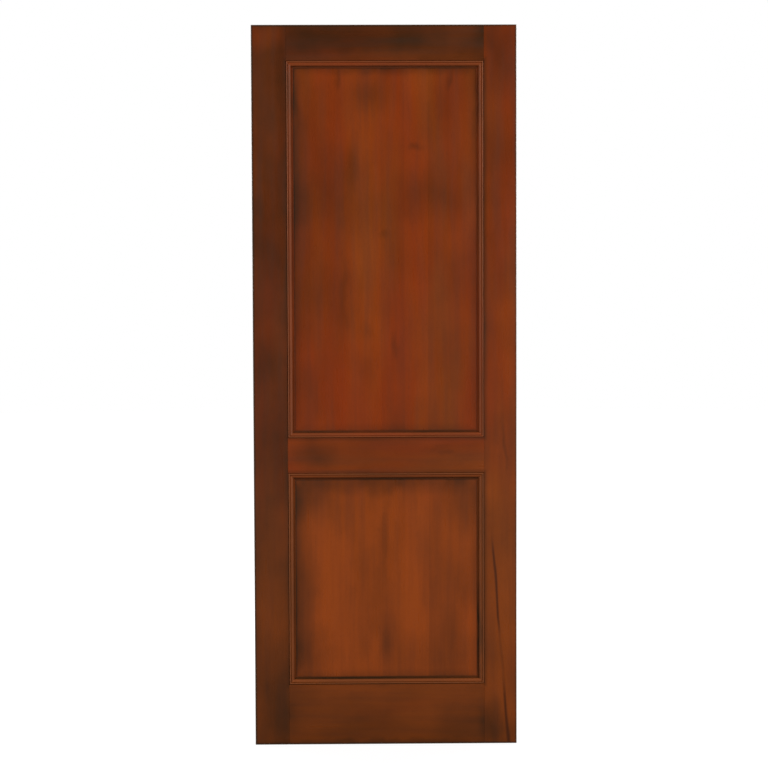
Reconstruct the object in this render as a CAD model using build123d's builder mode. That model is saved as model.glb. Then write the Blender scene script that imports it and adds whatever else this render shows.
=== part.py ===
"""A two-panel timber door leaf, framed with wedged through tenons.

Two stiles and three rails hold two flat panels in a ploughed groove. Mitred
bead-and-ovolo mouldings fill the step between frame and panel on both faces.
They are nailed to the frame alone, so each panel stays free in its groove.

Millimetres. X runs across the leaf, Z up it, and the front face looks to -Y.
The origin is the middle of the bottom edge, at half the leaf's thickness.
"""

import os
from math import sqrt

from build123d import *

# The leaf
LEAF_WIDTH = 762.0
LEAF_HEIGHT = 2083.0
LEAF_THICKNESS = 38.0
ARRIS_RADIUS = 1.5

# The frame members, as seen on the face; the right edge has been planed to fit
LEFT_STILE_WIDTH = 99.0
RIGHT_STILE_WIDTH = 94.0
TOP_RAIL_HEIGHT = 102.0
LOCK_RAIL_HEIGHT = 102.0
BOTTOM_RAIL_HEIGHT = 176.0
LOWER_OPENING_HEIGHT = 618.0
SHOULDER_EASE = 0.5

# Groove, panels and tenons share one thickness, so they all lie on one centre line
CORE_THICKNESS = 12.0
GROOVE_DEPTH = 12.0
PANEL_TONGUE = 10.0

# Tenons and their wedges
TOP_TENON_HEIGHT = 58.0
BOTTOM_TENON_HEIGHT = 56.0
BOTTOM_HAUNCH_HEIGHT = 20.0
WEDGE_LENGTH = 64.0
WEDGE_TIP = 1.0
WEDGE_BUTT = 6.0

# Moulding section, measured in from the frame's edge and up from the panel
MOULDING_WIDTH = 20.5
QUIRK_WIDTH = 1.0
QUIRK_LEVEL = 9.6
BEAD_RADIUS = 2.4
BEAD_LEVEL = 10.3
INNER_QUIRK_WIDTH = 0.8
OVOLO_RADIUS = 9.0
TOE_LEVEL = 1.6

# Cut brads, driven through the ovolo into the edge of the frame and punched in
BRAD_SPACING = 240.0
BRAD_END_DISTANCE = 70.0
BRAD_LEVEL = 6.5
BRAD_LENGTH = 30.0
BRAD_THICKNESS = 1.2
BRAD_SHANK_WIDTH = 1.6
BRAD_POINT_WIDTH = 0.8
BRAD_HEAD_WIDTH = 2.6
BRAD_HEAD_LENGTH = 1.0
BRAD_SET_DEPTH = 1.0

# Worked out from the driving dimensions
HALF_WIDTH = LEAF_WIDTH / 2
HALF_CORE = CORE_THICKNESS / 2
OPENING_LEFT = LEFT_STILE_WIDTH - HALF_WIDTH
OPENING_RIGHT = HALF_WIDTH - RIGHT_STILE_WIDTH
OPENING_WIDTH = OPENING_RIGHT - OPENING_LEFT
OPENING_CENTRE = (OPENING_LEFT + OPENING_RIGHT) / 2
LOWER_OPENING_FOOT = BOTTOM_RAIL_HEIGHT
LOWER_OPENING_HEAD = LOWER_OPENING_FOOT + LOWER_OPENING_HEIGHT
UPPER_OPENING_FOOT = LOWER_OPENING_HEAD + LOCK_RAIL_HEIGHT
UPPER_OPENING_HEAD = LEAF_HEIGHT - TOP_RAIL_HEIGHT
TOP_TENON_FOOT = UPPER_OPENING_HEAD + GROOVE_DEPTH
BOTTOM_TENON_HEAD = BOTTOM_RAIL_HEIGHT - GROOVE_DEPTH
FLARE_START = HALF_WIDTH - WEDGE_LENGTH
OVOLO_START = QUIRK_WIDTH + 2 * BEAD_RADIUS + INNER_QUIRK_WIDTH
BRAD_ENTRY = OVOLO_START + sqrt(OVOLO_RADIUS**2 - (BRAD_LEVEL - TOE_LEVEL) ** 2)

FACES = {"front": -1, "back": 1}

# Each side of the leaf: which way it lies, and the inner edge of its stile
SIDES = {"left": (-1, OPENING_LEFT), "right": (1, OPENING_RIGHT)}

# Each opening's foot and head, and the rails below and above it
OPENINGS = {
    "upper": (UPPER_OPENING_FOOT, UPPER_OPENING_HEAD, "lock_rail", "top_rail"),
    "lower": (LOWER_OPENING_FOOT, LOWER_OPENING_HEAD, "bottom_rail", "lock_rail"),
}

# Each rail's foot and head, and whether a panel's groove runs along that edge
RAILS = {
    "top_rail": (UPPER_OPENING_HEAD, LEAF_HEIGHT, True, False),
    "lock_rail": (LOWER_OPENING_HEAD, UPPER_OPENING_FOOT, True, True),
    "bottom_rail": (0.0, BOTTOM_RAIL_HEIGHT, False, True),
}

# The low and high edge of each tenon on a rail's end
TENONS = {
    "top_rail": [(TOP_TENON_FOOT, TOP_TENON_FOOT + TOP_TENON_HEIGHT)],
    "lock_rail": [(LOWER_OPENING_HEAD + GROOVE_DEPTH, UPPER_OPENING_FOOT - GROOVE_DEPTH)],
    "bottom_rail": [
        (BOTTOM_HAUNCH_HEIGHT, BOTTOM_HAUNCH_HEIGHT + BOTTOM_TENON_HEIGHT),
        (BOTTOM_TENON_HEAD - BOTTOM_TENON_HEIGHT, BOTTOM_TENON_HEAD),
    ],
}


class Run:
    """One edge of an opening, on one face of the leaf, along which a moulding lies."""

    def __init__(self, opening, side, face):
        foot, head, rail_below, rail_above = OPENINGS[opening]
        middle = (foot + head) / 2
        across, upward, x, z, self.member = {
            "left": (1, 0, OPENING_LEFT, middle, "stile_left"),
            "right": (-1, 0, OPENING_RIGHT, middle, "stile_right"),
            "bottom": (0, 1, OPENING_CENTRE, foot, rail_below),
            "top": (0, -1, OPENING_CENTRE, head, rail_above),
        }[side]
        self.length = OPENING_WIDTH if upward else head - foot
        self.inward = Vector(across, 0, upward)
        self.outward = Vector(0, face, 0)
        self.along = Vector(abs(upward), 0, abs(across))
        self.centre = Vector(x, face * HALF_CORE, z)

    def section_plane(self):
        """The plane across the run's middle, with x into the opening and y off the panel."""
        normal = self.inward.cross(self.outward)
        return Plane(origin=self.centre, x_dir=self.inward, z_dir=normal)

    def mitre_planes(self):
        """The planes of the two mitres, each facing the wood that stays."""
        for end in (-1, 1):
            corner = self.centre + self.along * (end * self.length / 2)
            yield Plane(origin=corner, z_dir=self.along * -end - self.inward)

    def brad_planes(self):
        """A plane at each brad's head: x back up the brad, z off the panel."""
        reach = self.length - 2 * BRAD_END_DISTANCE
        gaps = round(reach / BRAD_SPACING)
        head = self.centre + self.inward * (BRAD_ENTRY - BRAD_SET_DEPTH)
        head += self.outward * BRAD_LEVEL
        for number in range(gaps + 1):
            place = head + self.along * (reach * (number / gaps - 0.5))
            yield Plane(origin=place, x_dir=self.inward, z_dir=self.outward)


RUNS = {
    f"{opening}_{face_name}_moulding_{side}": Run(opening, side, face)
    for opening in OPENINGS
    for face_name, face in FACES.items()
    for side in ("left", "right", "bottom", "top")
}


def brad_outline(above_head=0.0):
    """A brad on its side, the top of its head at the origin and its point along -x."""
    half_head = BRAD_HEAD_WIDTH / 2
    half_shank = BRAD_SHANK_WIDTH / 2
    half_point = BRAD_POINT_WIDTH / 2
    Polyline(
        (above_head, half_head),
        (-BRAD_HEAD_LENGTH, half_head),
        (-BRAD_HEAD_LENGTH, half_shank),
        (-BRAD_LENGTH, half_point),
        (-BRAD_LENGTH, -half_point),
        (-BRAD_HEAD_LENGTH, -half_shank),
        (-BRAD_HEAD_LENGTH, -half_head),
        (above_head, -half_head),
        close=True,
    )


def place_brads(run, mode, above_head=0.0):
    """Adds a run's brads to the part being built, or cuts the holes they make."""
    with BuildSketch(*run.brad_planes()) as outline:
        with BuildLine():
            brad_outline(above_head)
        make_face()
    extrude(outline.sketch, amount=BRAD_THICKNESS / 2, both=True, mode=mode)


def cut_brad_holes(member):
    """Cuts the brads' holes from the frame member being built."""
    for run in RUNS.values():
        if run.member == member:
            place_brads(run, Mode.SUBTRACT)


def mortise_outline(low, high, side, inner):
    """A mortise seen on the face: straight in from the groove, then flared for two wedges."""
    flare = side * FLARE_START
    outer = side * HALF_WIDTH
    Polyline(
        (inner, low),
        (flare, low),
        (flare, low - WEDGE_TIP),
        (outer, low - WEDGE_BUTT),
        (outer, high + WEDGE_BUTT),
        (flare, high + WEDGE_TIP),
        (flare, high),
        (inner, high),
        close=True,
    )


def make_stile(name, side, inner):
    """A stile: grooved down its whole inner edge and mortised for every tenon."""
    outer = side * HALF_WIDTH
    with BuildPart() as stile:
        with BuildSketch():
            with Locations(((inner + outer) / 2, 0)):
                Rectangle(abs(outer - inner), LEAF_THICKNESS)
            with Locations((inner + side * GROOVE_DEPTH / 2, 0)):
                Rectangle(GROOVE_DEPTH, CORE_THICKNESS, mode=Mode.SUBTRACT)
        extrude(amount=LEAF_HEIGHT)
        outer_edges = stile.faces().filter_by(Axis.X).sort_by(Axis.X)[-1 if side > 0 else 0].edges()
        end_edges = stile.edges().filter_by(Axis.X).group_by(SortBy.LENGTH)[-1]
        fillet(outer_edges + end_edges, radius=ARRIS_RADIUS)
        with BuildSketch(Plane.XZ):
            for low, high in sum(TENONS.values(), []):
                with BuildLine():
                    mortise_outline(low, high, side, inner)
                make_face()
        extrude(amount=HALF_CORE, both=True, mode=Mode.SUBTRACT)
        cut_brad_holes(name)
    return stile.part


def make_rail(name):
    """A rail: grooved where it holds a panel, with haunched tenons at both ends."""
    foot, head, foot_grooved, head_grooved = RAILS[name]
    haunch_foot = foot + (GROOVE_DEPTH if foot_grooved else 0)
    haunch_head = head - (GROOVE_DEPTH if head_grooved else 0)
    with BuildPart() as rail:
        with BuildSketch(Plane.YZ.offset(OPENING_LEFT)):
            with Locations((0, (foot + head) / 2)):
                Rectangle(LEAF_THICKNESS, head - foot)
            if foot_grooved:
                with Locations((0, foot + GROOVE_DEPTH / 2)):
                    Rectangle(CORE_THICKNESS, GROOVE_DEPTH, mode=Mode.SUBTRACT)
            if head_grooved:
                with Locations((0, head - GROOVE_DEPTH / 2)):
                    Rectangle(CORE_THICKNESS, GROOVE_DEPTH, mode=Mode.SUBTRACT)
        extrude(amount=OPENING_WIDTH)
        if not (foot_grooved and head_grooved):
            free_edge = rail.faces().sort_by(Axis.Z)[0 if head_grooved else -1]
            fillet(free_edge.edges().filter_by(Axis.X), radius=ARRIS_RADIUS)
        faces = rail.faces().filter_by(Axis.Y).group_by(SortBy.AREA)[-1]
        chamfer(faces.edges().filter_by(Axis.Z), length=SHOULDER_EASE)
        with BuildSketch(Plane.XZ):
            with Locations((OPENING_CENTRE, (haunch_foot + haunch_head) / 2)):
                Rectangle(OPENING_WIDTH + 2 * GROOVE_DEPTH, haunch_head - haunch_foot)
            for low, high in TENONS[name]:
                with Locations((0, (low + high) / 2)):
                    Rectangle(LEAF_WIDTH, high - low)
        extrude(amount=HALF_CORE, both=True)
        cut_brad_holes(name)
    return rail.part


def make_wedge(edge, upward, side):
    """A wedge driven in from the leaf's edge, against one edge of a tenon."""
    with BuildPart() as wedge:
        with BuildSketch(Plane.XZ):
            with BuildLine():
                Polyline(
                    (side * FLARE_START, edge),
                    (side * HALF_WIDTH, edge),
                    (side * HALF_WIDTH, edge + upward * WEDGE_BUTT),
                    (side * FLARE_START, edge + upward * WEDGE_TIP),
                    close=True,
                )
            make_face()
        extrude(amount=HALF_CORE, both=True)
    return wedge.part


def make_panel(foot, head):
    """A flat panel, let into the grooves but short of their bottoms on every side."""
    with BuildPart() as panel:
        with BuildSketch(Plane.XZ):
            with Locations((OPENING_CENTRE, (foot + head) / 2)):
                Rectangle(OPENING_WIDTH + 2 * PANEL_TONGUE, head - foot + 2 * PANEL_TONGUE)
        extrude(amount=HALF_CORE, both=True)
    return panel.part


def moulding_section():
    """The section from the frame inwards: quirk, bead, inner quirk, ovolo and toe."""
    bead_end = QUIRK_WIDTH + 2 * BEAD_RADIUS
    bead_crown = (QUIRK_WIDTH + BEAD_RADIUS, BEAD_LEVEL + BEAD_RADIUS)
    ovolo_end = OVOLO_START + OVOLO_RADIUS
    Polyline((0, 0), (0, QUIRK_LEVEL), (QUIRK_WIDTH, QUIRK_LEVEL), (QUIRK_WIDTH, BEAD_LEVEL))
    ThreePointArc((QUIRK_WIDTH, BEAD_LEVEL), bead_crown, (bead_end, BEAD_LEVEL))
    Polyline(
        (bead_end, BEAD_LEVEL),
        (bead_end, QUIRK_LEVEL),
        (OVOLO_START, QUIRK_LEVEL),
        (OVOLO_START, TOE_LEVEL + OVOLO_RADIUS),
    )
    CenterArc((OVOLO_START, TOE_LEVEL), OVOLO_RADIUS, 0, 90)
    Polyline((ovolo_end, TOE_LEVEL), (MOULDING_WIDTH, TOE_LEVEL), (MOULDING_WIDTH, 0), (0, 0))


def make_moulding(run):
    """One mitred length of moulding, with the holes that its brads were punched through."""
    with BuildPart() as moulding:
        with BuildSketch(run.section_plane()):
            with BuildLine():
                moulding_section()
            make_face()
        extrude(amount=run.length / 2, both=True)
        for plane in run.mitre_planes():
            split(bisect_by=plane, keep=Keep.TOP)
        place_brads(run, Mode.SUBTRACT, above_head=2 * BRAD_SET_DEPTH)
    return moulding.part


def save(name, part):
    """Labels one finished piece and writes it under its name."""
    part.label = name
    export_step(part, f"parts/{name}.step")


os.makedirs("parts", exist_ok=True)

for side_name, (side, inner) in SIDES.items():
    save(f"stile_{side_name}", make_stile(f"stile_{side_name}", side, inner))

for rail_name in RAILS:
    save(rail_name, make_rail(rail_name))

for opening, (foot, head, _, _) in OPENINGS.items():
    save(f"{opening}_panel", make_panel(foot, head))

for run_name, run in RUNS.items():
    save(run_name, make_moulding(run))

for rail_name, tenons in TENONS.items():
    for number, (low, high) in enumerate(tenons):
        tenon_name = rail_name if len(tenons) == 1 else f"{rail_name}_{('low', 'high')[number]}_tenon"
        for side_name, (side, _) in SIDES.items():
            save(f"{tenon_name}_under_wedge_{side_name}", make_wedge(low, -1, side))
            save(f"{tenon_name}_over_wedge_{side_name}", make_wedge(high, 1, side))

with BuildPart() as moulding_brads:
    for run in RUNS.values():
        place_brads(run, Mode.ADD)
save("moulding_brads", moulding_brads.part)
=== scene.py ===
# %% [markdown]
# A two-panel mahogany door leaf
#
# The frame of the model is already made: two stiles, three rails, two loose panels, their wedges and
# their nails, all at their real size. This lesson dresses it. It cuts the mouldings again with true
# rounds, finishes every piece in stained and glazed timber, and sets up a plain studio round it.

# %% Load the frame
from math import pi, radians

import bmesh
import bpy
from mathutils import Matrix, Vector


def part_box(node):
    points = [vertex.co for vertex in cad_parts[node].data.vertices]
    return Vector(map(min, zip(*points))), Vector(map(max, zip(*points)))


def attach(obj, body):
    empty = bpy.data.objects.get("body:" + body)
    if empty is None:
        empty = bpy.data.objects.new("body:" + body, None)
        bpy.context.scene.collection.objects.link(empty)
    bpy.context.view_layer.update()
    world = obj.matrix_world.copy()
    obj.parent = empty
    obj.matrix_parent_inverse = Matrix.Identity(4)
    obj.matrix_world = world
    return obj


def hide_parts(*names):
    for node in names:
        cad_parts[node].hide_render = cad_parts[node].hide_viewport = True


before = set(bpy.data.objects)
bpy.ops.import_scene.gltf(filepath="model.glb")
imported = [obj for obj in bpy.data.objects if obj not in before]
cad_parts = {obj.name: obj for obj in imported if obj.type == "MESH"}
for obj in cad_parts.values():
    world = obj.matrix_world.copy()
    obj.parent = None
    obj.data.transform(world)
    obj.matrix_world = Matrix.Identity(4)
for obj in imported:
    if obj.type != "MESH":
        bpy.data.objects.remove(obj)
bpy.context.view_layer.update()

bpy.ops.object.select_all(action="DESELECT")
print("nodes loaded:", len(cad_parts))

# %% [markdown]
# Where things are
#
# The mouldings aren't placed by eye. The openings, the panels' faces and the leaf's own faces are read
# from the boxes of the pieces that make them, so each moulding lands where a joiner would fit it.

# %% Read the openings from the frame
MM = 0.001

panel_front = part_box("upper_panel")[0].y
panel_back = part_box("upper_panel")[1].y
leaf_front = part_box("stile_left")[0].y
opening_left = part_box("stile_left")[1].x
opening_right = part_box("stile_right")[0].x
leaf_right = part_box("stile_right")[1].x
leaf_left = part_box("stile_left")[0].x
leaf_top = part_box("stile_left")[1].z

OPENINGS = {
    "upper": (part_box("lock_rail")[1].z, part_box("top_rail")[0].z),
    "lower": (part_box("bottom_rail")[1].z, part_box("lock_rail")[0].z),
}
for name, (foot, head) in OPENINGS.items():
    print(f"{name} opening: {(opening_right - opening_left) / MM:.0f} by {(head - foot) / MM:.0f} mm")

# %% [markdown]
# The moulding's section
#
# A joiner would stick this moulding with a plane: a quirk beside the frame, a small bead, a second
# quirk, then an ovolo that falls to a thin toe on the panel. It could be drawn point by point, but the
# plane's way is easier to follow: start with the blank's end, saw the steps, then round their corners.

# %% The section's sizes
MOULDING_WIDTH = 20.5 * MM
MOULDING_HEIGHT = 12.7 * MM
QUIRK_WIDTH = 1.0 * MM
QUIRK_LEVEL = 9.6 * MM
BEAD_RADIUS = 2.4 * MM
BEAD_END = QUIRK_WIDTH + 2 * BEAD_RADIUS
INNER_QUIRK_WIDTH = 0.8 * MM
OVOLO_START = BEAD_END + INNER_QUIRK_WIDTH
OVOLO_RADIUS = 9.0 * MM
OVOLO_END = OVOLO_START + OVOLO_RADIUS
TOE_LEVEL = 1.6 * MM
OVOLO_LEVEL = TOE_LEVEL + OVOLO_RADIUS
TOE_RADIUS = 0.7 * MM

# Each step across the blank: where it ends, and the level that it is cut down to
STEPS = (
    (QUIRK_WIDTH, QUIRK_LEVEL),
    (BEAD_END, MOULDING_HEIGHT),
    (OVOLO_START, QUIRK_LEVEL),
    (OVOLO_END, OVOLO_LEVEL),
    (MOULDING_WIDTH, TOE_LEVEL),
)


def step_level(across):
    """The level of the step that lies at a place across the blank."""
    return next(level for end, level in STEPS if across <= end)


print(f"moulding {MOULDING_WIDTH / MM:.1f} by {MOULDING_HEIGHT / MM:.1f} mm, in {len(STEPS)} steps")

# %% Cut the section from a blank
WELD = 0.01 * MM
FLAT_ANGLE = radians(1)


def pick(kind, rule):
    """In edit mode, selects just the vertices or faces whose middle passes a rule."""
    bpy.ops.mesh.select_mode(type=kind)
    bpy.ops.mesh.select_all(action="DESELECT")
    mesh = bmesh.from_edit_mesh(bpy.context.edit_object.data)
    if kind == "VERT":
        chosen = [v for v in mesh.verts if rule(v.co)]
    else:
        chosen = [f for f in mesh.faces if rule(f.calc_center_median())]
    for element in chosen:
        element.select_set(True)
    bmesh.update_edit_mesh(bpy.context.edit_object.data)
    return len(chosen)


def saw(place, normal, **extra):
    """In edit mode, cuts the whole mesh with a plane."""
    bpy.ops.mesh.select_all(action="SELECT")
    bpy.ops.mesh.bisect(plane_co=place, plane_no=normal, **extra)


bpy.ops.mesh.primitive_plane_add(size=1, location=(MOULDING_WIDTH / 2, MOULDING_HEIGHT / 2, 0))
blank = bpy.context.object
blank.scale = (MOULDING_WIDTH, MOULDING_HEIGHT, 1)
bpy.ops.object.transform_apply(location=True, rotation=True, scale=True)
bpy.ops.object.mode_set(mode="EDIT")
for end, _ in STEPS[:-1]:
    saw((end, 0, 0), (1, 0, 0))
for level in (TOE_LEVEL, QUIRK_LEVEL, OVOLO_LEVEL):
    saw((0, level, 0), (0, 1, 0))
waste = pick("FACE", lambda middle: middle.y > step_level(middle.x))
bpy.ops.mesh.delete(type="FACE")
bpy.ops.mesh.select_all(action="SELECT")
bpy.ops.mesh.dissolve_limited(angle_limit=FLAT_ANGLE)
print("pieces of waste sawn off:", waste)

# %% [markdown]
# Rounds
#
# A moulding plane's iron is ground to curves, so four corners of the stepped section are rounded: two
# on the bead, one on the ovolo and one at the toe. Each is a bevel of a single corner, which lays an arc
# of short flats there.

# %% Round the bead, the ovolo and the toe
# Each corner to round: where it is, its radius, and how many flats make its arc
ROUNDS = (
    ((QUIRK_WIDTH, MOULDING_HEIGHT), BEAD_RADIUS, 8),
    ((BEAD_END, MOULDING_HEIGHT), BEAD_RADIUS, 8),
    ((OVOLO_END, OVOLO_LEVEL), OVOLO_RADIUS, 14),
    ((MOULDING_WIDTH, TOE_LEVEL), TOE_RADIUS, 3),
)
for (across, level), radius, segments in ROUNDS:
    corner = Vector((across, level, 0))
    pick("VERT", lambda place: (place - corner).length < WELD)
    bpy.ops.mesh.bevel(offset=radius, segments=segments, affect="VERTICES", clamp_overlap=False)
bpy.ops.mesh.select_all(action="SELECT")
bpy.ops.mesh.remove_doubles(threshold=WELD)
bpy.ops.object.mode_set(mode="OBJECT")
print("points in the section:", len(blank.data.vertices))

# %% [markdown]
# Sixteen lengths, mitred
#
# Each opening is lined on four sides of both faces. Every length is the same strip, cut to its run and
# mitred at 45 degrees, so it is modelled once and then copied, sawn and laid in place. The copy's axes
# are x into the opening, y off the panel and z along the run.

# %% Lay the mouldings
SHADE_ANGLE = radians(35)


def moulding_runs():
    """The name, opening, side, centre, inward and outward direction and length of every run."""
    middle = (opening_left + opening_right) / 2
    for opening, (foot, head) in OPENINGS.items():
        for face, panel_face, outward in (("front", panel_front, -1), ("back", panel_back, 1)):
            sides = {
                "left": (opening_left, (foot + head) / 2, (1, 0, 0)),
                "right": (opening_right, (foot + head) / 2, (-1, 0, 0)),
                "bottom": (middle, foot, (0, 0, 1)),
                "top": (middle, head, (0, 0, -1)),
            }
            for side, (x, z, inward) in sides.items():
                length = head - foot if side in ("left", "right") else opening_right - opening_left
                centre = Vector((x, panel_face, z))
                yield (f"{opening}_{face}_moulding_{side}", side, centre, Vector(inward),
                       Vector((0, outward, 0)), length)


mouldings = {}
for name, side, centre, inward, outward, length in moulding_runs():
    bpy.ops.object.select_all(action="DESELECT")
    strip = blank.copy()
    strip.data = blank.data.copy()
    strip.name = strip.data.name = name + "_planed"
    bpy.context.collection.objects.link(strip)
    bpy.context.view_layer.objects.active = strip
    strip.select_set(True)
    bpy.ops.object.mode_set(mode="EDIT")
    bpy.ops.mesh.select_all(action="SELECT")
    bpy.ops.transform.translate(value=(0, 0, -length / 2))
    bpy.ops.mesh.extrude_region_move(TRANSFORM_OT_translate={"value": (0, 0, length)})
    saw((0, 0, length / 2), (1, 0, 1), clear_outer=True, use_fill=True)
    saw((0, 0, -length / 2), (1, 0, -1), clear_outer=True, use_fill=True)
    bpy.ops.mesh.select_all(action="SELECT")
    bpy.ops.mesh.remove_doubles(threshold=WELD)
    bpy.ops.mesh.normals_make_consistent(inside=False)
    bpy.ops.object.mode_set(mode="OBJECT")
    turn = Matrix((inward, outward, inward.cross(outward))).transposed()
    strip.matrix_world = Matrix.Translation(centre) @ turn.to_4x4()
    bpy.ops.object.transform_apply(location=True, rotation=True, scale=True)
    bpy.ops.object.shade_smooth_by_angle(angle=SHADE_ANGLE)
    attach(strip, "root")
    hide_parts(name)
    mouldings[name] = (strip, side)
bpy.data.objects.remove(blank)
print("mouldings laid:", len(mouldings))

# %% [markdown]
# Helpers for the finishes
#
# Colours are written as the sRGB hex values that a colour picker shows, and one function turns them
# to the linear values that the shaders work in. One more function adds a node: its inputs are either
# another node's socket, which is linked, or a plain value.

# %% Colour and node helpers
EASED = {"interpolation_type": "SMOOTHSTEP"}
IN_COLOUR = {"data_type": "RGBA"}


def linear(hex_colour):
    """The linear RGBA of an sRGB hex colour."""
    parts = [int(hex_colour[i:i + 2], 16) / 255 for i in (1, 3, 5)]
    return [c / 12.92 if c <= 0.04045 else ((c + 0.055) / 1.055) ** 2.4 for c in parts] + [1.0]


def add(tree, kind, inputs=(), **settings):
    """Adds a node with its settings, links or fills its inputs, and returns its outputs."""
    made = tree.nodes.new("ShaderNode" + kind)
    for setting, value in settings.items():
        setattr(made, setting, value)
    for key, value in inputs.items() if isinstance(inputs, dict) else enumerate(inputs):
        if isinstance(value, bpy.types.NodeSocket):
            tree.links.new(value, made.inputs[key])
        else:
            made.inputs[key].default_value = value
    return made.outputs


def new_material(name):
    """An empty material, with its node tree."""
    made = bpy.data.materials.new(name)
    made.use_nodes = True
    made.node_tree.nodes.clear()
    return made, made.node_tree


print("mid grey in linear light:", round(linear("#808080")[0], 3))

# %% [markdown]
# Mahogany
#
# Mahogany is a red-brown timber with straight, slightly wandering grain. Up close it has fine open
# pores a few millimetres long. From a few steps away one sees soft ribbons a finger wide, which are
# stripes of interlocked grain, and broad patches that turn from brick red to orange brown. All of it
# runs along the board, so each layer is a noise stretched along the grain. Working in the space of
# the board, in real sizes, gives the faces, the edges and the end grain from one pattern. A real
# pore is 0.2 mm wide: here it is drawn 0.7 mm wide, or no view of the whole leaf would show it.

# %% The layers of the grain
# How wide and how long each layer's figure is, in millimetres
PATCH = (110, 520)
CLOUD = (130, 190)
RIBBON = (26, 300)
STRIPE = (9, 200)
THREAD = (2.4, 90)
PORE = (0.7, 9)
BEND = (260, 900)
BEND_REACH = 18 * MM
PER_METRE = 1 / MM
NOISE_MIDDLE = 0.5
FINE_DETAIL = 3.0


def figure(tree, place, size, detail=2.0):
    """A noise whose figure is so wide and so long, in millimetres."""
    wide, long = size
    scaled = add(tree, "VectorMath", (place, (PER_METRE / wide, PER_METRE / wide, PER_METRE / long)),
                 operation="MULTIPLY")[0]
    return add(tree, "TexNoise", {"Vector": scaled, "Scale": 1.0, "Detail": detail})


def pushed_about(tree, place, size, reach):
    """A place pushed about by a noise, by up to half of the reach each way."""
    sway = figure(tree, place, size)["Color"]
    centred = add(tree, "VectorMath", (sway, (NOISE_MIDDLE,) * 3), operation="SUBTRACT")[0]
    push = add(tree, "VectorMath", (centred, reach), operation="MULTIPLY")[0]
    return add(tree, "VectorMath", (place, push), operation="ADD")[0]


def board_space(tree, level, seed):
    """Coordinates with z along the grain, in metres, wandering a little as the tree grew."""
    where = add(tree, "TexCoord")["Object"]
    turn = (0, radians(90) if level else 0, 0)
    turned = add(tree, "Mapping", {"Vector": where, "Location": seed, "Rotation": turn})[0]
    return pushed_about(tree, turned, BEND, (BEND_REACH, BEND_REACH, 0))


print("figure widths:", [size[0] for size in (PATCH, CLOUD, RIBBON, STRIPE, THREAD, PORE)], "mm")

# %% [markdown]
# Glaze
#
# The stained timber was wiped with a thin dark glaze. It is uneven: the left stile and the top rail
# hold more of it, and some places were wiped nearly clean. The left stile's extra glaze is partly
# painted shade, and the right stile's light glaze partly painted light, as the leaf is lit more from the
# right. Each cloud of glaze on the front is drawn as a soft oval with a ragged edge, here called a wash.

# %% Washes of glaze on the front
RAGGED = (60, 110)
RAGGED_REACH = 45 * MM
WASH_EDGE = 1.25
FRONT_FADE = 4 * MM


def on_front(tree, amount):
    """Keeps an amount on the front half of the leaf's thickness."""
    depth = add(tree, "SeparateXYZ", (add(tree, "TexCoord")["Object"],))["Y"]
    front = add(tree, "MapRange", (depth, FRONT_FADE, -FRONT_FADE, 0.0, 1.0), **EASED)[0]
    return add(tree, "Math", (amount, front), operation="MULTIPLY")[0]


def washed(rows):
    """Glaze that the washes leave on the front."""

    def layer(tree):
        where = add(tree, "TexCoord")["Object"]
        ragged = pushed_about(tree, where, RAGGED, (RAGGED_REACH, 0, RAGGED_REACH))
        total = 0.0
        for x, z, half_width, half_height, amount in rows:
            aside = add(tree, "VectorMath", (ragged, (x * MM, 0, z * MM)), operation="SUBTRACT")[0]
            halves = (PER_METRE / half_width, 0, PER_METRE / half_height)
            aside = add(tree, "VectorMath", (aside, halves), operation="MULTIPLY")[0]
            reach = add(tree, "VectorMath", (aside,), operation="LENGTH")["Value"]
            wash = add(tree, "MapRange", (reach, WASH_EDGE, 0.0, 0.0, amount), **EASED)[0]
            total = add(tree, "Math", (total, wash), operation="ADD")[0]
        return on_front(tree, total)

    return layer


print(f"a wash's edge wanders by up to {RAGGED_REACH / 2 / MM:.1f} mm")
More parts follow.
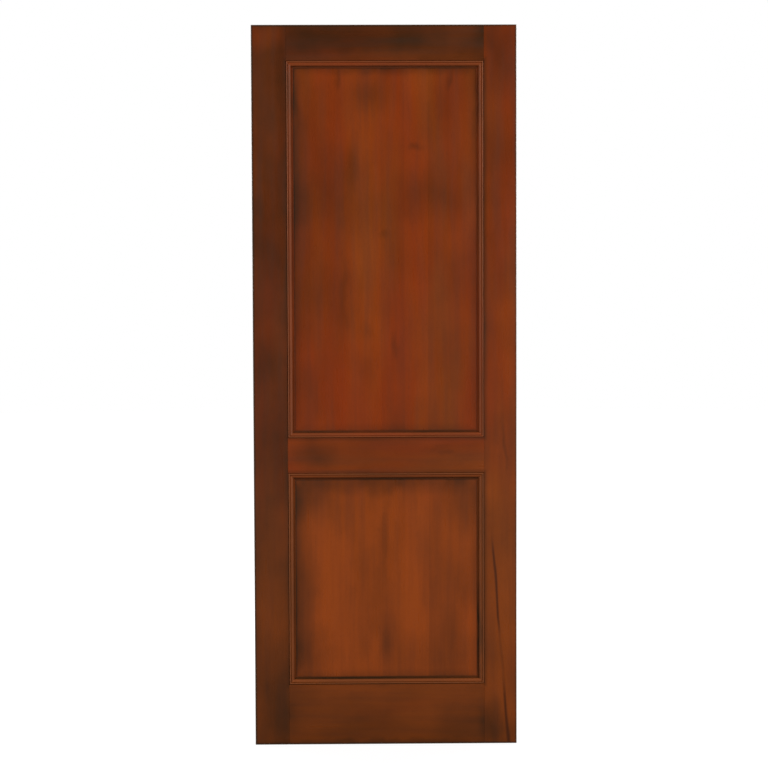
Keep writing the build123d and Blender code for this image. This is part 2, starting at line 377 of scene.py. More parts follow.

# %% [markdown]
# Where each wash lies
#
# These were placed one by one, the big ones first and then the small ones that catch the eye. Each has
# its middle, its half width and half height, all in millimetres, and how much glaze it adds. A negative
# amount is a place that was wiped cleaner. The leaf was glazed whole, so the frame's clouds run on
# across its joints.

# %% The washes
# Middle across and up, half width, half height, and how much glaze
WASHES = {
    "frame": (
        (-345, 2050, 60, 55, -0.35), (-292, 1790, 20, 330, 0.12), (-340, 1740, 70, 130, 0.08),
        (-335, 1280, 60, 100, -0.10), (-340, 1120, 70, 90, 0.08), (-345, 400, 80, 250, -0.28),
        (-310, 85, 60, 120, 0.22), (-235, 2050, 140, 90, 0.20), (-60, 2050, 170, 70, 0.08),
        (110, 2062, 110, 50, 0.14), (275, 2050, 60, 60, 0.16), (0, 1992, 300, 22, -0.10),
        (335, 2000, 75, 140, 0.30), (345, 1180, 50, 330, -0.10), (350, 865, 7, 90, 0.25),
        (330, 1660, 60, 180, 0.14), (305, 760, 25, 90, -0.10), (300, 60, 42, 95, 0.38),
        (350, 30, 60, 60, 0.26), (335, 380, 60, 260, -0.16), (-200, 845, 80, 60, 0.44),
        (145, 864, 50, 12, 0.14), (175, 850, 30, 8, 0.14), (0, 125, 200, 60, -0.10),
        (40, 40, 260, 50, 0.12), (-100, 165, 220, 18, -0.12), (210, 845, 100, 60, 0.22),
        (235, 60, 110, 90, 0.28), (0, 3, 420, 12, 0.24),
    ),
    "upper_panel": (
        (-48, 1880, 60, 55, 0.20), (-135, 1930, 10, 40, 0.25), (188, 1925, 11, 32, 0.25),
        (-90, 1680, 20, 100, 0.22), (93, 1737, 28, 13, 0.30), (150, 1600, 130, 110, 0.34),
        (50, 1590, 80, 80, 0.08), (-190, 1610, 140, 220, 0.40), (-250, 1740, 35, 120, 0.14),
        (-175, 1850, 110, 110, 0.12), (3, 1480, 18, 15, 0.20), (-118, 1315, 15, 150, 0.16),
        (-190, 1320, 110, 170, 0.30), (-54, 1208, 30, 30, 0.14), (-49, 1082, 28, 45, 0.12),
        (29, 1165, 12, 50, 0.26), (200, 1000, 60, 70, 0.02), (-262, 1440, 68, 640, 0.20),
        (0, 1960, 330, 20, 0.19), (60, 1200, 110, 250, -0.06), (170, 1830, 60, 120, 0.04),
        (-200, 1020, 90, 120, 0.24), (0, 1880, 110, 70, 0.08),
        (-257, 1890, 14, 140, 0.26), (262, 1860, 12, 170, 0.22),
    ),
    "lower_panel": (
        (-2, 638, 15, 85, 0.20), (-2, 540, 10, 70, 0.10), (-72, 512, 32, 80, 0.12),
        (0, 290, 24, 60, 0.22), (-66, 280, 28, 60, 0.16), (197, 343, 28, 70, 0.10),
        (232, 428, 20, 80, 0.08), (-262, 470, 68, 400, 0.42), (-210, 260, 90, 90, 0.40),
        (-215, 725, 110, 90, 0.38), (-10, 755, 310, 30, 0.32), (-40, 722, 26, 50, 0.16),
        (212, 700, 75, 110, 0.26), (-145, 500, 60, 190, -0.12), (80, 480, 46, 230, -0.12),
        (-20, 470, 36, 300, 0.12), (205, 470, 36, 260, 0.04), (255, 300, 36, 160, -0.14),
        (110, 250, 70, 60, 0.06), (-150, 215, 40, 60, -0.06),
    ),
    "upper_moulding": (
        (-267, 1900, 12, 120, 0.36), (272, 1890, 12, 130, 0.36), (-270, 950, 14, 60, 0.20),
    ),
    "lower_moulding": ((272, 320, 12, 190, 0.50), (-267, 420, 14, 150, 0.14)),
}
print("washes:", sum(len(rows) for rows in WASHES.values()))

# %% [markdown]
# Distances from the edges
#
# The next layers fade with the distance from an edge of an opening or of the leaf. One helper measures
# how far each place lies inside four edges, which is the smallest of the four gaps.

# %% Distances from the edges
def inside_edges(tree, left, right, foot, head):
    """How far each place is inside the nearest of four edges, in metres."""
    x, _, z = add(tree, "SeparateXYZ", (add(tree, "TexCoord")["Object"],))
    gaps = [add(tree, "Math", pair, operation="SUBTRACT")[0]
            for pair in ((x, left), (right, x), (z, foot), (head, z))]
    near_sides = add(tree, "Math", gaps[:2], operation="MINIMUM")[0]
    near_ends = add(tree, "Math", gaps[2:], operation="MINIMUM")[0]
    return add(tree, "Math", (near_sides, near_ends), operation="MINIMUM")[0]


def inside_opening(tree, opening):
    """How far each place is inside an opening."""
    return inside_edges(tree, opening_left, opening_right, *OPENINGS[opening])


print(f"leaf {(leaf_right - leaf_left) / MM:.0f} by {leaf_top / MM:.0f} mm between its edges")

# %% [markdown]
# Where glaze and painted shade lie thick
#
# Glaze stays wherever a rag can't reach, and shade falls in these same places, so both are painted. On
# the panels a dark line of glaze and painted shade lies against the moulding's toe, and a thinner veil
# fades out over a thumb's width. On the frame a little of it spills outwards from the mouldings, as
# glaze and painted shade too.

# %% Glaze and painted shade beside the mouldings
# Glaze beside the mouldings is painted darker also as the shade that falls there
MARGIN = 28 * MM
MARGIN_GLAZE_AND_SHADE = 0.20
TOE_LINE = 5 * MM
TOE_LINE_GLAZE_AND_SHADE = 0.20
SPILL = 13 * MM


def glaze_and_shade_beside_mouldings(amount):
    """Glaze and painted shade that fade from the mouldings across the frame around them."""

    def layer(tree):
        insides = [inside_opening(tree, opening) for opening in OPENINGS]
        nearest = add(tree, "Math", insides, operation="MAXIMUM")[0]
        return add(tree, "MapRange", (nearest, -SPILL, 0.0, 0.0, amount), **EASED)[0]

    return layer


def panel_margin_glaze_and_shade(opening):
    """Glaze and painted shade that fade inward from the moulding's toe."""

    def layer(tree):
        inside = inside_opening(tree, opening)
        veil = (inside, MOULDING_WIDTH + MARGIN, MOULDING_WIDTH, 0.0, MARGIN_GLAZE_AND_SHADE)
        line = (inside, MOULDING_WIDTH + TOE_LINE, MOULDING_WIDTH, 0.0, TOE_LINE_GLAZE_AND_SHADE)
        both = [add(tree, "MapRange", fade, **EASED)[0] for fade in (veil, line)]
        return add(tree, "Math", both, operation="ADD")[0]

    return layer


print(f"glaze fades out {(MOULDING_WIDTH + MARGIN) / MM:.1f} mm inside the openings")

# %% [markdown]
# Arrises and end grain
#
# The leaf is darker along its own arrises, and the arris itself is painted paler, as worn through to
# paler wood and as a painted highlight. End grain drinks more stain than the long grain, so the tenons'
# ends show dark in the leaf's edges, as do the stiles' ends above and below.

# %% Arrises and end grain
# The leaf is darker along its outer arrises
ARRIS_DARKENING_WIDTH = 8 * MM
ARRIS_DARKENING = 0.5
ARRIS_WEAR_WIDTH = 4 * MM
# The worn arris is painted paler, as wear and as a highlight
ARRIS_WEAR_AND_HIGHLIGHT = 0.6
END_DEPTH = 0.4 * MM
TENON_END_GLAZE = 0.20
STILE_END_GLAZE = 0.25


def leaf_arrises(tree, reach, amount):
    """An amount that fades from the leaf's outer arrises along its faces."""
    inside = inside_edges(tree, leaf_left, leaf_right, 0.0, leaf_top)
    near = add(tree, "MapRange", (inside, reach, 0.0, 0.0, amount), **EASED)[0]
    depth = add(tree, "SeparateXYZ", (add(tree, "TexCoord")["Object"],))["Y"]
    depth = add(tree, "Math", (depth,), operation="ABSOLUTE")[0]
    half = -leaf_front
    on_face = add(tree, "MapRange", (depth, half - ARRIS_WEAR_WIDTH, half, 0.0, 1.0), **EASED)[0]
    return add(tree, "Math", (near, on_face), operation="MULTIPLY")[0]


def darkened_arrises(tree):
    """Darker colour along the leaf's outer arrises."""
    return leaf_arrises(tree, ARRIS_DARKENING_WIDTH, ARRIS_DARKENING)


def worn_and_highlighted_arrises(tree):
    """How far the leaf's outer arrises are worn through, and painted paler as a highlight."""
    return leaf_arrises(tree, ARRIS_WEAR_WIDTH, ARRIS_WEAR_AND_HIGHLIGHT)


# In the next two, the edges that don't count are set far outside the leaf
def tenon_ends(tree):
    """More stain on the tenons' ends, in the leaf's long edges."""
    inside = inside_edges(tree, leaf_left, leaf_right, -leaf_top, 2 * leaf_top)
    return add(tree, "MapRange", (inside, END_DEPTH, 0.0, 0.0, TENON_END_GLAZE), **EASED)[0]


def stile_ends(tree):
    """More stain on the stiles' ends, above and below."""
    inside = inside_edges(tree, 2 * leaf_left, 2 * leaf_right, 0.0, leaf_top)
    return add(tree, "MapRange", (inside, END_DEPTH, 0.0, 0.0, STILE_END_GLAZE), **EASED)[0]


print(f"glaze runs {ARRIS_DARKENING_WIDTH / MM:.0f} mm in from the arrises")

# %% [markdown]
# Across a moulding
#
# From the front a moulding is a set of narrow stripes, so its glaze and its wear are drawn by how far
# each place lies inside the opening. Glaze fills the two quirks and the toe, and these hollows are
# painted darker also as the shade that falls in them. Rubbing down took the glaze off again along the
# crest of the bead and over the ovolo, which are painted paler both as worn wood and as a painted
# highlight.

# %% Glaze and painted shade, wear and painted highlight across a moulding
# Glaze in the quirks and at the toe, painted darker also as the shade in these hollows
OUTER_QUIRK_GLAZE_AND_SHADE = 0.55
OUTER_QUIRK_FADE = 0.8 * MM
INNER_QUIRK_GLAZE_AND_SHADE = 0.25
INNER_QUIRK_FADE = 1.2 * MM
INNER_QUIRK_SPILL = 0.2 * MM
TOE_FADE = 2.5 * MM
BEAD_CREST = QUIRK_WIDTH + BEAD_RADIUS
# The bead's crest is painted paler, as wear and as a painted highlight
BEAD_WEAR_AND_HIGHLIGHT = 0.7
WEAR_EDGE = 0.8 * BEAD_RADIUS
WEAR_FULL = 0.2 * BEAD_RADIUS
OVOLO_FADE = 2 * MM


def quirk_glaze_and_shade(opening, toe_glaze_and_shade):
    """Glaze and painted shade in the two quirks and at the toe."""

    def layer(tree):
        across = inside_opening(tree, opening)
        past_quirk = OVOLO_START + INNER_QUIRK_SPILL
        steps = (
            (across, QUIRK_WIDTH, QUIRK_WIDTH + OUTER_QUIRK_FADE, OUTER_QUIRK_GLAZE_AND_SHADE, 0.0),
            (across, BEAD_END - INNER_QUIRK_FADE, BEAD_END, 0.0, INNER_QUIRK_GLAZE_AND_SHADE),
            (across, past_quirk, past_quirk + INNER_QUIRK_FADE, 0.0, -INNER_QUIRK_GLAZE_AND_SHADE),
            (across, OVOLO_END - TOE_FADE, OVOLO_END, 0.0, toe_glaze_and_shade),
        )
        total = 0.0
        for step in steps:
            glaze = add(tree, "MapRange", step, **EASED)[0]
            total = add(tree, "Math", (total, glaze), operation="ADD")[0]
        return total

    return layer


def crest_wear_and_highlight(opening, ovolo_wear_and_highlight):
    """How far the bead and the ovolo are painted paler, as rubbed-through wood and as a painted
    highlight.
    """

    def layer(tree):
        across = inside_opening(tree, opening)
        aside = add(tree, "Math", (across, BEAD_CREST), operation="SUBTRACT")[0]
        aside = add(tree, "Math", (aside,), operation="ABSOLUTE")[0]
        bead = add(tree, "MapRange", (aside, WEAR_EDGE, WEAR_FULL, 0.0, BEAD_WEAR_AND_HIGHLIGHT), **EASED)[0]
        onto = (across, OVOLO_START, OVOLO_START + OVOLO_FADE, 0.0, 1.0)
        off = (across, OVOLO_END, OVOLO_END - OVOLO_FADE, 0.0, ovolo_wear_and_highlight)
        ends = [add(tree, "MapRange", fade, **EASED)[0] for fade in (onto, off)]
        ovolo = add(tree, "Math", ends, operation="MULTIPLY")[0]
        return add(tree, "Math", (bead, ovolo), operation="ADD")[0]

    return layer


print(f"bead crest {BEAD_CREST / MM:.1f} mm from the frame")

# %% [markdown]
# Glued boards
#
# The panels are glued up from boards, each a shade lighter or darker than its neighbour. The boards
# are counted across the panel, and a random tone is drawn for each count.

# %% Glued boards
BOARD_WIDTH = 68 * MM
# How far the glued joints are moved aside, in boards
BOARD_START = 0.15
BOARD_TONE = 0.16


def glued_boards(tree):
    """A small step in tone from board to board across a panel."""
    across = add(tree, "SeparateXYZ", (add(tree, "TexCoord")["Object"],))["X"]
    boards = add(tree, "Math", (across, 1 / BOARD_WIDTH, BOARD_START), operation="MULTIPLY_ADD")[0]
    board = add(tree, "Math", (boards,), operation="FLOOR")[0]
    tone = add(tree, "TexWhiteNoise", {"W": board}, noise_dimensions="1D")["Value"]
    return add(tree, "MapRange", (tone, 0.0, 1.0, -BOARD_TONE / 2, BOARD_TONE / 2))[0]


print("boards across a panel:", round((opening_right - opening_left) / BOARD_WIDTH, 1))

# %% [markdown]
# A mineral streak
#
# Low on the right stile a dark streak slants through the wood, as where a living tree took up minerals
# through a wound. It is drawn by how far each place lies from a slanting line, bent a little by a
# noise, and it fades where it dips under the surface. Its colour is a red-brown, since the glaze lies
# over it.

# %% The mineral streak
STREAK_FOOT_X = 357 * MM
STREAK_LEAN = -0.078
STREAK_TOP = 600 * MM
# Its half width at its foot and at its top, and the part of it that is fully dark
STREAK_HALF_WIDTH = (8 * MM, 5 * MM)
STREAK_CORE = 0.1
STREAK_BROWN = "#3F1B06"
STREAK_DARK = 0.85
STREAK_BEND = (30, 110)
STREAK_BEND_REACH = 9 * MM
# The heights between which it comes in, at its top
STREAK_STARTS = (STREAK_TOP + 30 * MM, STREAK_TOP - 60 * MM)
# Where it dips under the surface, how much of it still shows there, and how far the dip reaches
STREAK_FAINT_AT = 250 * MM
STREAK_FAINT = 0.3
STREAK_FAINT_REACH = (50 * MM, 130 * MM)


def mineral_streak(tree):
    """A dark slanting streak on the front, wider at its foot."""
    where = add(tree, "TexCoord")["Object"]
    ragged = pushed_about(tree, where, STREAK_BEND, (STREAK_BEND_REACH, 0, 0))
    x, _, z = add(tree, "SeparateXYZ", (ragged,))
    line = add(tree, "Math", (z, STREAK_LEAN, STREAK_FOOT_X), operation="MULTIPLY_ADD")[0]
    aside = add(tree, "Math", (x, line), operation="SUBTRACT")[0]
    aside = add(tree, "Math", (aside,), operation="ABSOLUTE")[0]
    half_width = add(tree, "MapRange", (z, 0.0, STREAK_TOP, *STREAK_HALF_WIDTH))[0]
    off_centre = add(tree, "Math", (aside, half_width), operation="DIVIDE")[0]
    around = add(tree, "Math", (z, STREAK_FAINT_AT), operation="SUBTRACT")[0]
    around = add(tree, "Math", (around,), operation="ABSOLUTE")[0]
    dark = add(tree, "MapRange", (off_centre, 1.0, STREAK_CORE, 0.0, STREAK_DARK), **EASED)[0]
    below = add(tree, "MapRange", (z, *STREAK_STARTS, 0.0, 1.0), **EASED)[0]
    whole = add(tree, "MapRange", (around, *STREAK_FAINT_REACH, STREAK_FAINT, 1.0), **EASED)[0]
    for share in (below, whole):
        dark = add(tree, "Math", (dark, share), operation="MULTIPLY")[0]
    return on_front(tree, dark)


print(f"streak {STREAK_TOP / MM:.0f} mm tall")

# %% [markdown]
# Stain
#
# The stain gives two tones, brick red and orange brown, which turn slowly into each other. Both are
# darker where the grain is close. The lower part of the leaf has faded a little towards orange, and a
# bleached piece is moved further that way.

# %% Stain
RED = "#842E07"
ORANGE = "#853F0D"
BLEACHED = "#934010"
BROWN = "#5C270A"
FADED_ABOVE = 950 * MM
FADED_BELOW = 550 * MM
FADED_WARMTH = 0.38
# The part of the noise that is used, and how much orange it gives
WARMTH_NOISE = (0.25, 0.85)
WARMTH = (0.1, 0.85)
# How much each layer counts towards open grain, and where grain turns from open to close
RIBBON_SHARE = 0.55
STRIPE_SHARE = 0.35
THREAD_SHARE = 0.05
CLOSE_GRAIN = (0.56, 0.30)
CLOSE_BROWN = 0.25


def stain_colour(tree, board, ribbon, thread, bleached):
    """The stained timber: two tones, and darker where the grain is close."""
    height = add(tree, "SeparateXYZ", (add(tree, "TexCoord")["Object"],))["Z"]
    faded = add(tree, "MapRange", (height, FADED_ABOVE, FADED_BELOW, 0.0, FADED_WARMTH), **EASED)[0]
    warmth = add(tree, "Math", (figure(tree, board, PATCH)[0], faded), operation="ADD")[0]
    warmth = add(tree, "MapRange", (warmth, *WARMTH_NOISE, *WARMTH), **EASED)[0]
    warm = add(tree, "Mix", {0: warmth, 6: linear(RED), 7: linear(ORANGE)}, **IN_COLOUR)[2]
    warm = add(tree, "Mix", {0: bleached, 6: warm, 7: linear(BLEACHED)}, **IN_COLOUR)[2]
    stripe = figure(tree, board, STRIPE, FINE_DETAIL)[0]
    open_grain = add(tree, "Math", (ribbon, RIBBON_SHARE), operation="MULTIPLY")[0]
    for noise, share in ((stripe, STRIPE_SHARE), (thread, THREAD_SHARE)):
        open_grain = add(tree, "Math", (noise, share, open_grain), operation="MULTIPLY_ADD")[0]
    close = add(tree, "MapRange", (open_grain, *CLOSE_GRAIN, 0.0, CLOSE_BROWN), **EASED)[0]
    return add(tree, "Mix", {0: close, 6: warm, 7: linear(BROWN)}, **IN_COLOUR)[2]


print(f"faded from {FADED_ABOVE / MM:.0f} down to {FADED_BELOW / MM:.0f} mm")

# %% [markdown]
# How much glaze shows
#
# Each piece starts from its own level of glaze. Clouds and ribbons vary it along the grain, and then
# the layers above are added one by one. The sum is held under 1, so that some wood always shows.

# %% How much glaze shows
CLOUDINESS = 0.7
RIBBON_GLAZE = -0.12
MOST_GLAZE = 0.96


def glaze_share(tree, board, ribbon, level_of_glaze, layers):
    """How much of the colour is glaze: its level, the clouds, the ribbons and the layers."""
    total = level_of_glaze
    cloud = figure(tree, board, CLOUD, FINE_DETAIL)[0]
    for noise, weight in ((cloud, CLOUDINESS), (ribbon, RIBBON_GLAZE)):
        centred = add(tree, "Math", (noise, NOISE_MIDDLE), operation="SUBTRACT")[0]
        total = add(tree, "Math", (centred, weight, total), operation="MULTIPLY_ADD")[0]
    for layer in layers:
        total = add(tree, "Math", (total, layer(tree)), operation="ADD")[0]
    return add(tree, "Clamp", (total, 0.0, MOST_GLAZE))[0]


print("glaze hides at most", MOST_GLAZE, "of the wood")

# %% [markdown]
# Pores and lacquer
#
# The satin lacquer is a clear film with an index of about 1.45. It was rubbed down with fine wool, so
# it shines less than new lacquer, and least on the mouldings. It sinks a little into the pores, which
# stay dark with glaze, so a low relief of pores and threads breaks up its shine.

# %% Stained, glazed and lacquered timber
GLAZE = "#2A1907"
PORE_DARK = "#2A1409"
PORE_EDGE = (0.60, 0.68)
PORE_SHOWS = 0.24
PORE_SUNK = -2.0
THREAD_RAISED = 0.35
BUMP_STRENGTH = 0.3
BUMP_HEIGHT = 0.12 * MM
LACQUER_IOR = 1.45
LACQUER_ROUGHNESS = 0.32
LACQUER_SHINE = 0.33
ROUGHNESS_SWING = 0.05
# Most of a noise's values lie between these
USUAL_NOISE = (0.3, 0.7)


def timber(name, seed, level_of_glaze, layers, marks=(), level=False, bleached=0.0,
           shine=LACQUER_SHINE, roughness=LACQUER_ROUGHNESS):
    """Stained, glazed and lacquered mahogany, its grain upright or level."""
    made, tree = new_material("stained_mahogany_" + name)
    board = board_space(tree, level, seed)
    ribbon = figure(tree, board, RIBBON)[0]
    thread = figure(tree, board, THREAD)[0]
    colour = stain_colour(tree, board, ribbon, thread, bleached)
    glaze = glaze_share(tree, board, ribbon, level_of_glaze, layers)
    colour = add(tree, "Mix", {0: glaze, 6: colour, 7: linear(GLAZE)}, **IN_COLOUR)[2]
    for mark, mark_colour in marks:
        colour = add(tree, "Mix", {0: mark(tree), 6: colour, 7: linear(mark_colour)}, **IN_COLOUR)[2]
    pore = figure(tree, board, PORE)[0]
    pore = add(tree, "MapRange", (pore, *PORE_EDGE, 0.0, PORE_SHOWS), **EASED)[0]
    colour = add(tree, "Mix", {0: pore, 6: colour, 7: linear(PORE_DARK)}, **IN_COLOUR)[2]

    raised = add(tree, "Math", (thread, THREAD_RAISED), operation="MULTIPLY")[0]
    raised = add(tree, "Math", (pore, PORE_SUNK, raised), operation="MULTIPLY_ADD")[0]
    surface = {"Height": raised, "Strength": BUMP_STRENGTH, "Distance": BUMP_HEIGHT}
    bump = add(tree, "Bump", surface)[0]
    swing = (roughness + ROUGHNESS_SWING, roughness - ROUGHNESS_SWING)
    rough = add(tree, "MapRange", (ribbon, *USUAL_NOISE, *swing), **EASED)[0]
    film = {"Base Color": colour, "Roughness": rough, "Normal": bump, "IOR": LACQUER_IOR,
            "Specular IOR Level": shine}
    add(tree, "OutputMaterial", {"Surface": add(tree, "BsdfPrincipled", film)[0]})
    return made


print("lacquer index:", LACQUER_IOR)

# %% [markdown]
# A finish for each board
#
# No two boards are alike. So each piece has its own place in the pattern and its own level of glaze,
# then layers that add glaze, and painted shade, where it lies thick. Marks go over the glaze: the worn
# arrises round the frame, painted paler also as a highlight, and the mineral streak on the right stile.
# Only the lower panel is bleached.

# %% Finish the frame and the panels
# The worn arrises' paler colour, which also paints their highlight
WORN_AND_HIGHLIGHT = "#6B5140"
FRAME_WASHES = washed(WASHES["frame"])
WORN_AND_HIGHLIGHTED_ARRISES = (worn_and_highlighted_arrises, WORN_AND_HIGHLIGHT)
STREAKED = (mineral_streak, STREAK_BROWN)

# Each piece's place in the pattern, its level of glaze, its layers and its marks
FINISHES = {
    # The left stile's high level of glaze is partly painted shade, and the right stile's low one partly
    # painted light, as the leaf is lit more from the right
    "stile_left": ((1.3, 0.2, 4.0), 0.67,
                   (FRAME_WASHES, darkened_arrises, stile_ends, glaze_and_shade_beside_mouldings(0.08)),
                   (WORN_AND_HIGHLIGHTED_ARRISES,)),
    "stile_right": ((5.1, 1.4, 2.0), 0.31,
                    (FRAME_WASHES, darkened_arrises, stile_ends, glaze_and_shade_beside_mouldings(0.32)),
                    (STREAKED, WORN_AND_HIGHLIGHTED_ARRISES)),
    "top_rail": ((2.6, 3.3, 7.0), 0.64, (FRAME_WASHES, darkened_arrises, tenon_ends), (WORN_AND_HIGHLIGHTED_ARRISES,)),
    "lock_rail": ((8.2, 0.7, 1.0), 0.28, (FRAME_WASHES, tenon_ends, glaze_and_shade_beside_mouldings(0.28)), ()),
    "bottom_rail": ((4.4, 6.1, 3.0), 0.42, (FRAME_WASHES, darkened_arrises, tenon_ends), (WORN_AND_HIGHLIGHTED_ARRISES,)),
    "upper_panel": ((7.7, 2.2, 5.0), 0.19,
                    (washed(WASHES["upper_panel"]), panel_margin_glaze_and_shade("upper"), glued_boards), ()),
    "lower_panel": ((3.9, 5.5, 6.0), 0.17,
                    (washed(WASHES["lower_panel"]), panel_margin_glaze_and_shade("lower"), glued_boards), ()),
}
BLEACHING = {"lower_panel": 0.6}


def dress(piece, material):
    """Gives a piece its finish, in place of any it had."""
    piece.data.materials.clear()
    piece.data.materials.append(material)


for node, (seed, level_of_glaze, layers, marks) in FINISHES.items():
    material = timber(node, seed, level_of_glaze, layers, marks, level=node.endswith("rail"),
                      bleached=BLEACHING.get(node, 0.0))
    dress(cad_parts[node], material)
    print(f"{node}: {len(material.node_tree.nodes)} nodes in its finish")

# %% [markdown]
# The mouldings' finish
#
# The mouldings were rubbed down hardest, so they shine least, and on their crests the rubbing went
# nearly through the stain, to paler wood, which is also painted paler as a highlight. The upright
# lengths have a few dark clouds. The level ones are rubbed a little less and are painted darker at the
# toe, with glaze and painted shade. All lengths that lie the same way in one opening share a finish.

# %% Finish the mouldings
LIES = {"upright": ("left", "right"), "level": ("top", "bottom")}
# Paler wood on the crests, which also paints their highlight
RUBBED_AND_HIGHLIGHT = "#73482D"
RUBBED_ROUGHNESS = 0.5
RUBBED_SHINE = 0.15
# How far the ovolo is painted paler, as wear and as a painted highlight
OVOLO_WEAR_AND_HIGHLIGHT = {"upright": 0.34, "level": 0.28}
# Glaze and painted shade at the toe, heavier on the level lengths
TOE_GLAZE_AND_SHADE = {"upright": 0.20, "level": 0.60}
MOULDING_GLAZE = {"upper": 0.17, "lower": 0.24}
MOULDING_SEED = (6.0, 4.2, 8.0)

finished = []
for opening in OPENINGS:
    for lie, sides in LIES.items():
        layers = [quirk_glaze_and_shade(opening, TOE_GLAZE_AND_SHADE[lie])]
        if lie == "upright":
            layers.append(washed(WASHES[opening + "_moulding"]))
        made = timber(f"{opening}_moulding_{lie}", MOULDING_SEED, MOULDING_GLAZE[opening], layers,
                      marks=((crest_wear_and_highlight(opening, OVOLO_WEAR_AND_HIGHLIGHT[lie]), RUBBED_AND_HIGHLIGHT),),
                      level=lie == "level", shine=RUBBED_SHINE, roughness=RUBBED_ROUGHNESS)
        for name, (strip, side) in mouldings.items():
            if name.startswith(opening) and side in sides:
                dress(strip, made)
                finished.append(name)
print("mouldings finished:", len(finished))

# %% [markdown]
# Wedges and brads
#
# Only the outer ends of the wedges show, flush with the leaf's long edges. They are the same timber
# with the grain running in from the edge, so they too show dark end grain. The brads lie under the
# moulding's surface. They are cut from mild steel sheet, a dull grey metal with a fine sheared
# texture, drawn about 1 mm coarse.

# %% Finish the wedges and the brads
WEDGE_SEED = (9.4, 9.1, 0.5)
WEDGE_GLAZE = 0.45
SHEAR_MARK = (1.11, 1.11)
STEEL_DARK = "#5A5754"
STEEL_PALE = "#77736E"
STEEL_ROUGHNESS = (0.42, 0.6)

wedge_timber = timber("wedge", WEDGE_SEED, WEDGE_GLAZE, (tenon_ends,), level=True)
wedges = [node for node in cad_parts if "_wedge_" in node]
for node in wedges:
    dress(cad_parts[node], wedge_timber)

brad_steel, steel_tree = new_material("cut_mild_steel")
where = add(steel_tree, "TexCoord")["Object"]
sheared = figure(steel_tree, where, SHEAR_MARK, FINE_DETAIL)[0]
steel_grey = {0: sheared, 6: linear(STEEL_DARK), 7: linear(STEEL_PALE)}
steel_skin = {
    "Base Color": add(steel_tree, "Mix", steel_grey, **IN_COLOUR)[2],
    "Roughness": add(steel_tree, "MapRange", (sheared, *USUAL_NOISE, *STEEL_ROUGHNESS), **EASED)[0],
    "Metallic": 1.0,
}
add(steel_tree, "OutputMaterial", {"Surface": add(steel_tree, "BsdfPrincipled", steel_skin)[0]})
dress(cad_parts["moulding_brads"], brad_steel)
print("wedges finished:", len(wedges))

# %% [markdown]
# The camera
#
# The photograph was taken from about five metres with a short telephoto, from a little above the
# leaf's middle and tipped slightly down: the leaf is 2 % wider at its top than at its foot. Its right
# edge is upright while its left edge leans, which is a small roll of the camera. The Standard view
# shows each colour as it is written, with no film curve over it.

# %% Place the camera
CAMERA_PLACE = Vector((-0.0714, -5.2570, 1.2990))
CAMERA_LENS = 85
CAMERA_SENSOR = 36
CAMERA_PITCH = radians(2.70)
CAMERA_YAW = radians(-0.75)
CAMERA_ROLL = radians(-0.21)

camera_data = bpy.data.cameras.new("studio_camera")
camera_data.lens = CAMERA_LENS
camera_data.sensor_width = CAMERA_SENSOR
camera = bpy.data.objects.new("studio_camera", camera_data)
bpy.context.collection.objects.link(camera)
turn = (Matrix.Rotation(CAMERA_YAW, 4, "Z") @ Matrix.Rotation(radians(90) - CAMERA_PITCH, 4, "X")
        @ Matrix.Rotation(CAMERA_ROLL, 4, "Z"))
camera.matrix_world = Matrix.Translation(CAMERA_PLACE) @ turn
bpy.context.scene.camera = camera
bpy.context.scene.view_settings.view_transform = "Standard"
print(f"camera {CAMERA_PLACE.length:.2f} m from the foot of the leaf")

# %% [markdown]
# Light
#
# A flat, satin face shows its colour best under two soft lamps set well to the sides, as for copying
# a painting: their reflections then miss the camera. The right one is a little stronger. A second
# pair lights the back, so the leaf can be seen from anywhere. In full light, pi watts on each square
# metre, a colour renders as it is written. A lamp of P watts lays P / (pi d squared) on what it faces
# from d metres, so its power is worked out from the share of full light that it should lay. A pair of
# lamps and the room lay about all of it together.

# %% Set up the lamps
LAMP_SIZE = 2.0
LAMP_HEIGHT = 2.2
LAMP_ASIDE = 3.5
LAMP_AWAY = 2.9
AIM_HEIGHT = 1.04


def soft_lamp(name, aside, away, share):
    """A square soft box that lays a share of full light on the leaf's middle."""
    place = Vector((aside, away, LAMP_HEIGHT))
    aim = Vector((0, 0, AIM_HEIGHT)) - place
    facing = abs(aim.normalized().y)
    data = bpy.data.lights.new(name, "AREA")
    data.shape = "SQUARE"
    data.size = LAMP_SIZE
    data.energy = share * pi * pi * aim.length_squared / facing
    lamp = bpy.data.objects.new(name, data)
    lamp.location = place
    lamp.rotation_euler = aim.to_track_quat("-Z", "Y").to_euler()
    lamp.visible_camera = False
    bpy.context.collection.objects.link(lamp)
    print(f"{name}: {data.energy:.0f} W")


# Which way each lamp stands aside and away, and its share of full light
LAMPS = {
    "lamp_front_right": (1, -1, 0.48),
    "lamp_front_left": (-1, -1, 0.36),
    "lamp_back_right": (1, 1, 0.42),
    "lamp_back_left": (-1, 1, 0.42),
}
for name, (aside, away, share) in LAMPS.items():
    soft_lamp(name, aside * LAMP_ASIDE, away * LAMP_AWAY, share)

# %% [markdown]
# The background
#
# The camera sees plain white, and so do reflections towards either side. Straight ahead of the leaf
# and straight behind it the room is dim, as where a photographer stands in a dark aisle: a flat
# lacquered face mirrors that part of the room, and would look milky in front of a white wall.

# %% White surroundings
AISLE_LIGHT = 0.06
ROOM_LIGHT = 0.14
CEILING_LIGHT = 0.45
# From where to where the light rises: aside from the aisle, and up towards the ceiling
AISLE_EDGE = (0.35, 0.85)
CEILING_EDGE = (0.35, 0.95)


def beside_aisle(tree, sideways):
    """0 in the dim aisle, 1 well to either side of it."""
    aside = add(tree, "Math", (sideways,), operation="ABSOLUTE")[0]
    return add(tree, "MapRange", (aside, *AISLE_EDGE, 0.0, 1.0), **EASED)[0]


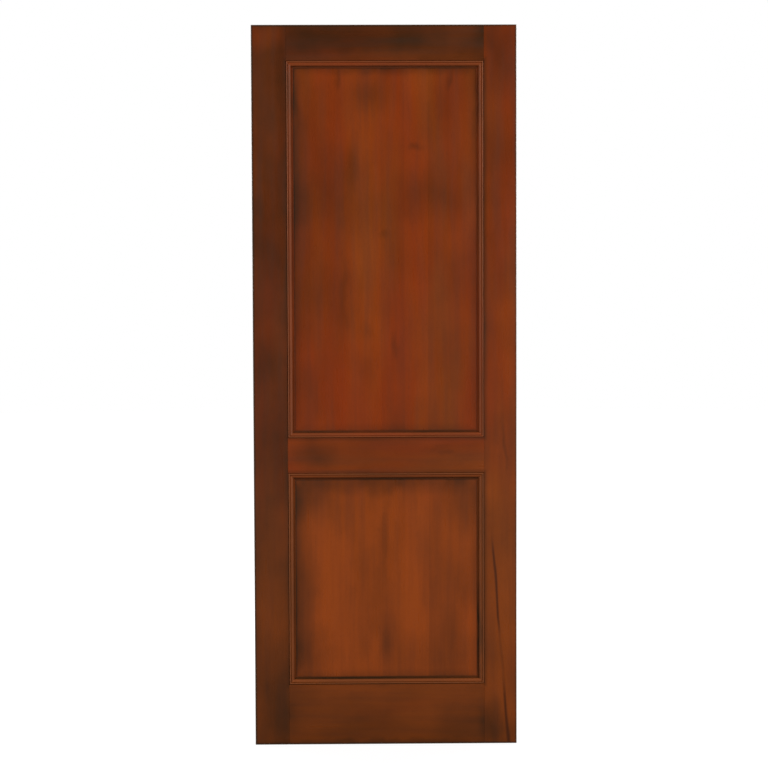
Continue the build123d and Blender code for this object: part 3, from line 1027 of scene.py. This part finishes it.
world = bpy.data.worlds.new("white_studio")
world.use_nodes = True
sky = world.node_tree
sky.nodes.clear()
rays = add(sky, "LightPath")
towards = add(sky, "SeparateXYZ", (add(sky, "TexCoord")["Generated"],))
white_seen = add(sky, "Math", (rays["Is Camera Ray"], rays["Is Transmission Ray"]),
                 operation="MAXIMUM")[0]
mirrored = add(sky, "Mix", {0: beside_aisle(sky, towards["X"]), 2: AISLE_LIGHT, 3: 1.0})[0]
room = add(sky, "MapRange", (towards["Z"], *CEILING_EDGE, ROOM_LIGHT, CEILING_LIGHT), **EASED)[0]
for share, light in ((rays["Is Glossy Ray"], mirrored), (white_seen, 1.0)):
    room = add(sky, "Mix", {0: share, 2: room, 3: light})[0]
backdrop = add(sky, "Background", {"Color": (1, 1, 1, 1), "Strength": room})[0]
add(sky, "OutputWorld", {"Surface": backdrop})
bpy.context.scene.world = world
print("the room's light:", ROOM_LIGHT, "at eye level,", CEILING_LIGHT, "above")

# %% [markdown]
# The floor
#
# The floor is a wide disc of matt paint. It shows white through its own glow, which only the camera,
# glass and mirrors see, and it keeps the leaf's soft shadow. Away from the leaf it is fully white, so
# no edge of the floor shows against the background. A reflection finds it dim in the aisle too.

# %% Floor
FLOOR_RADIUS = 16.0
FLOOR_SIDES = 96
FLOOR_DROP = 0.5 * MM
FLOOR_GREY = "#7A7A7A"
NEAR_GLOW = 0.86
NEAR = 0.6
FAR = 2.4
AISLE_NARROWING = 0.6

bpy.ops.mesh.primitive_circle_add(vertices=FLOOR_SIDES, radius=FLOOR_RADIUS, fill_type="NGON",
                                  location=(0, 0, -FLOOR_DROP))
floor = bpy.context.object
floor.name = "studio_floor"
floor_paint, paint_tree = new_material("matt_floor_paint")
rays = add(paint_tree, "LightPath")
where = add(paint_tree, "TexCoord")["Object"]
away = add(paint_tree, "VectorMath", (where,), operation="LENGTH")["Value"]
sideways = add(paint_tree, "SeparateXYZ", (where,))["X"]
sideways = add(paint_tree, "Math", (sideways, AISLE_NARROWING), operation="MULTIPLY")[0]
mirrored = add(paint_tree, "Math", (rays["Is Glossy Ray"], beside_aisle(paint_tree, sideways)),
               operation="MULTIPLY")[0]
white_seen = add(paint_tree, "Math", (rays["Is Camera Ray"], rays["Is Transmission Ray"]),
                 operation="MAXIMUM")[0]
white_seen = add(paint_tree, "Math", (white_seen, mirrored), operation="MAXIMUM")[0]
glow = add(paint_tree, "MapRange", (away, NEAR, FAR, NEAR_GLOW, 1.0), **EASED)[0]
glow = add(paint_tree, "Math", (glow, white_seen), operation="MULTIPLY")[0]
glow = add(paint_tree, "Emission", {"Color": (1, 1, 1, 1), "Strength": glow})[0]
matt = add(paint_tree, "BsdfDiffuse", {"Color": linear(FLOOR_GREY)})[0]
add(paint_tree, "OutputMaterial", {"Surface": add(paint_tree, "AddShader", (glow, matt))[0]})
floor.data.materials.append(floor_paint)
print("floor:", 2 * FLOOR_RADIUS, "m across")
